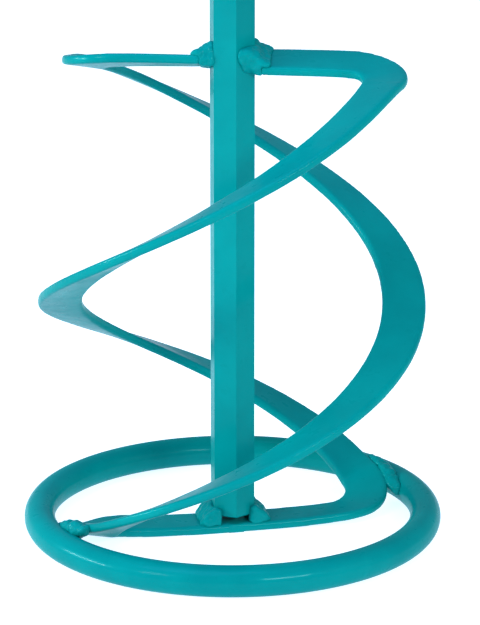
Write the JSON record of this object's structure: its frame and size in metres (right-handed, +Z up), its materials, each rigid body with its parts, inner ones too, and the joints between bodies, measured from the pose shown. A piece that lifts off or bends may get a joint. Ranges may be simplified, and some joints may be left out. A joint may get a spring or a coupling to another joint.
{
  "type": "mortar mixing paddle",
  "caption": "Spiral mixing paddle for mortar and plaster: hexagonal shaft, winding flat-bar blades, round base ring and a threaded drive end.",
  "frame": {"origin": "on the floor, on the shaft axis, at the centre of the base ring", "axes": "+Z up the shaft towards the drive stud, +X along the bottom bar"},
  "size_m": [0.135, 0.135, 0.59],
  "materials": {
    "paint": "gloss teal paint over welded steel",
    "bare_steel": "zinc-plated turned steel"
  },
  "bodies": {
    "root": {"base_ring": "paint", "blade_butt_weld": "paint", "drive_stud": "bare_steel", "drive_stud_weld": "paint", "hex_shaft": "paint", "ring_seam_weld": "paint", "ring_weld_a": "paint", "ring_weld_b": "paint", "shaft_foot_weld_a": "paint", "shaft_foot_weld_b": "paint", "spiral_blade_a": "paint", "spiral_blade_b": "paint", "top_arm_weld_a": "paint", "top_arm_weld_b": "paint"}
  },
  "joints": []
}
